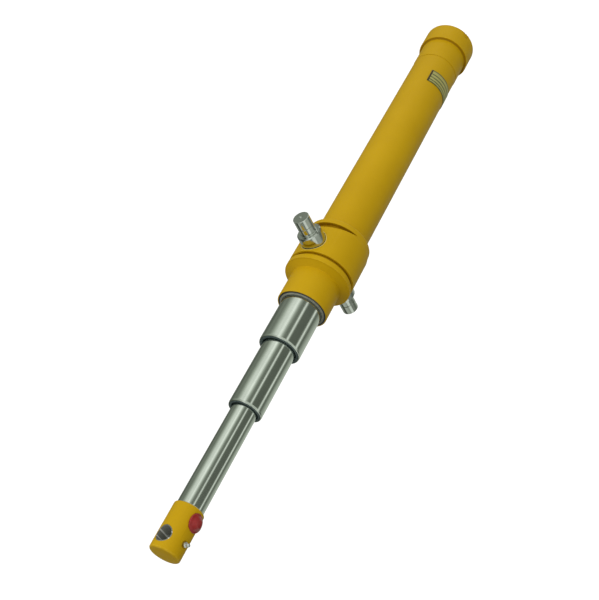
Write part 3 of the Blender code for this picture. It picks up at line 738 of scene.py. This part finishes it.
def finish_inner_nodes():
    """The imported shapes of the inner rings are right: they only get their finish."""
    record_slots = {part["node"]: part["material_slot"] for part in frame["record"]["subparts"]}
    for node, obj in frame["nodes"].items():
        if obj.hide_render:
            continue
        finish = MATERIALS.get(record_slots[node])
        if finish:
            obj.data.materials.clear()
            obj.data.materials.append(finish)


# ---------------------------------------------------------------- studio
KEY_SIDE = Vector((0, -0.7308, 0.6826))     # square to the cylinder, where angle 0 of the studio lies
FAR_SIDE = Vector((0, 0.6826, 0.7308))
# angle about the cylinder from KEY_SIDE in degrees, and brightness there: soft boxes and the gaps between
STUDIO = ((-180, 0.40), (-148, 0.16), (-134, 0.14), (-112, 0.25), (-96, 0.235), (-84, 0.36), (-72, 0.59),
          (-60, 0.86), (-52, 0.92), (-46, 0.90), (-38, 1.12), (-34, 1.12), (-28, 0.84), (-22, 0.50),
          (-12, 0.25), (-2, 0.19), (4, 0.26), (8, 0.86), (12, 1.00), (16, 0.48), (21, 0.15), (62, 0.14),
          (68, 0.25), (73, 0.86), (77, 1.02), (82, 0.48), (88, 0.17), (96, 0.17), (110, 0.37), (130, 0.52),
          (180, 0.60))


# the same for the part of the studio that lies square to the cylinder's ends, where the bands are softer
CROSSWISE = ((-180, 0.42), (-150, 0.14), (-125, 0.12), (-105, 0.30), (-70, 0.48), (-46, 0.72), (-34, 1.00),
             (-20, 0.66), (20, 0.64), (50, 0.58), (70, 0.78), (80, 0.55), (90, 0.13), (112, 0.11),
             (130, 0.38), (155, 0.56), (180, 0.42))


def angle_about_x(tree, split):
    """The angle of a direction about the X axis, from KEY_SIDE towards FAR_SIDE."""
    def along(axis):
        part = math_node(tree, 'MULTIPLY', split.outputs[1], axis.y)
        return math_node(tree, 'MULTIPLY_ADD', split.outputs[2], axis.z, part)
    return math_node(tree, 'ARCTAN2', along(FAR_SIDE), along(KEY_SIDE))


def studio_bands(tree, angle, bands):
    """The soft boxes as long bands beside the cylinder, a little greener in the gaps."""
    fraction = math_node(tree, 'MULTIPLY_ADD', angle, 1 / TURN, 0.5)
    ramp = add(tree, "ShaderNodeValToRGB", {0: fraction})
    stops = ramp.color_ramp.elements
    for degrees, _ in bands[1:-1]:
        stops.new((degrees + 180) / 360)
    for stop, (_, level) in zip(stops, bands):
        lit = min(level, 1.0)
        stop.color = (level * (0.87 + 0.09 * lit), level, level * (0.80 + 0.14 * lit), 1)
    return ramp.outputs[0]


def make_world():
    """A studio that runs the length of the cylinder, with a bright wall across it and a dark end."""
    world = bpy.data.worlds.new("studio")
    bpy.context.scene.world = world
    world.use_nodes = True
    tree = world.node_tree
    tree.nodes.clear()
    away = add(tree, "ShaderNodeTexCoord").outputs["Generated"]
    split = add(tree, "ShaderNodeSeparateXYZ", {0: away})
    angle = angle_about_x(tree, split)
    bands = studio_bands(tree, angle, STUDIO)
    across = math_node(tree, 'MULTIPLY', between(tree, split.outputs[0], -0.30, -0.21),
                       between(tree, split.outputs[0], 0.20, 0.34, 1.0, 0.0))
    walled = mix_colour(tree, across, bands, studio_bands(tree, angle, CROSSWISE))
    high = between(tree, split.outputs[2], -0.15, 0.05)
    end = mix_colour(tree, high, (0.075, 0.085, 0.065), (0.86, 0.92, 0.85))
    at_end = math_node(tree, 'MULTIPLY', between(tree, split.outputs[0], 0.24, 0.36),
                       between(tree, split.outputs[0], 0.62, 0.70, 1.0, 0.0))
    mirrored = mix_colour(tree, at_end, walled, end)
    glossy = add(tree, "ShaderNodeBackground", {"Color": mirrored, "Strength": 1.0})
    key = between(tree, math_node(tree, 'COSINE', math_node(tree, 'ADD', angle, math.radians(44))), -1.0, 1.0)
    soft = math_node(tree, 'POWER', key, 1.6)
    level = math_node(tree, 'MULTIPLY_ADD', soft, 0.75, 0.165)
    diffuse = add(tree, "ShaderNodeBackground", {"Color": (1.0, 0.985, 0.96, 1), "Strength": level})
    white = add(tree, "ShaderNodeBackground", {"Color": (1, 1, 1, 1), "Strength": 1.0})
    path = add(tree, "ShaderNodeLightPath")
    lit = add(tree, "ShaderNodeMixShader", {0: path.outputs["Is Glossy Ray"], 1: diffuse.outputs[0],
                                            2: glossy.outputs[0]})
    seen = add(tree, "ShaderNodeMixShader", {0: path.outputs["Is Camera Ray"], 1: lit.outputs[0],
                                             2: white.outputs[0]})
    add(tree, "ShaderNodeOutputWorld", {0: seen.outputs[0]})


def make_floor():
    """A pale floor, well below the cylinder, which is held up by its trunnions."""
    height = -0.9
    size = 40.0
    shape = bmesh.new()
    bmesh.ops.create_grid(shape, x_segments=8, y_segments=8, size=size / 2,
                          matrix=Matrix.Translation((0, 0, height)))
    mesh = bpy.data.meshes.new("floor")
    shape.to_mesh(mesh)
    shape.free()
    made, tree, shader = new_material("pale_floor")
    shader.inputs["Base Color"].default_value = (0.30, 0.30, 0.30, 1)
    shader.inputs["Roughness"].default_value = 0.9
    shader.inputs["Emission Color"].default_value = (1, 1, 1, 1)
    shader.inputs["Emission Strength"].default_value = 0.95
    mesh.materials.append(made)
    floor = bpy.data.objects.new("floor", mesh)
    bpy.context.scene.collection.objects.link(floor)
    floor.visible_glossy = False
    floor.visible_diffuse = False


def make_lights():
    """One large soft key from the left of the camera and a weak fill from behind."""
    for name, spot, size, power, colour in (
            ("key", Vector((0.7, -2.4, 0.9)), 1.8, 15.5, (1.0, 0.985, 0.95)),
            ("fill", Vector((-1.2, 2.0, 1.6)), 2.2, 3.5, (0.95, 0.98, 1.0))):
        light = bpy.data.lights.new(name, 'AREA')
        light.shape = 'SQUARE'
        light.size = size
        light.energy = power
        light.color = colour
        obj = bpy.data.objects.new(name, light)
        obj.location = spot
        obj.rotation_mode = 'QUATERNION'
        obj.rotation_quaternion = (-spot).to_track_quat('-Z', 'Y')
        obj.visible_camera = False
        obj.visible_glossy = False
        bpy.context.scene.collection.objects.link(obj)


def make_camera():
    """The photograph's view: from in front of the rod eye, above the left trunnion, rolled a quarter turn."""
    data = bpy.data.cameras.new("camera")
    data.sensor_width = 36.0
    data.lens = 57.1
    obj = bpy.data.objects.new("camera", data)
    bpy.context.scene.collection.objects.link(obj)
    place = Vector((1.00766, -1.02626, 0.95649))
    azimuth, elevation, roll = (math.radians(v) for v in (41.866, 35.205, 92.21))
    back = Vector((math.sin(azimuth) * math.cos(elevation), -math.cos(azimuth) * math.cos(elevation),
                   math.sin(elevation)))
    level = (-back).to_track_quat('-Z', 'Y').to_matrix().to_4x4()
    obj.matrix_world = Matrix.Translation(place) @ level @ Matrix.Rotation(roll, 4, 'Z')
    data.clip_start, data.clip_end = 0.05, 100.0
    bpy.context.scene.camera = obj


make_camera()
make_base_cap()
make_bleed_screw()
make_barrel_tube()
make_nameplate()
make_collar()
make_pins()
make_gland()
make_gland_wiper()
make_stage("stage1", 33 * MM, radius("stage2_tube"), 80 * MM)
make_stage("stage2", 25 * MM, PLUNGER_R, 70 * MM)
make_plunger()
make_eye()
make_bush()
make_port_plug()
make_nipple()
finish_inner_nodes()
make_world()
make_lights()
make_floor()
bpy.context.scene.view_settings.view_transform = 'Standard'
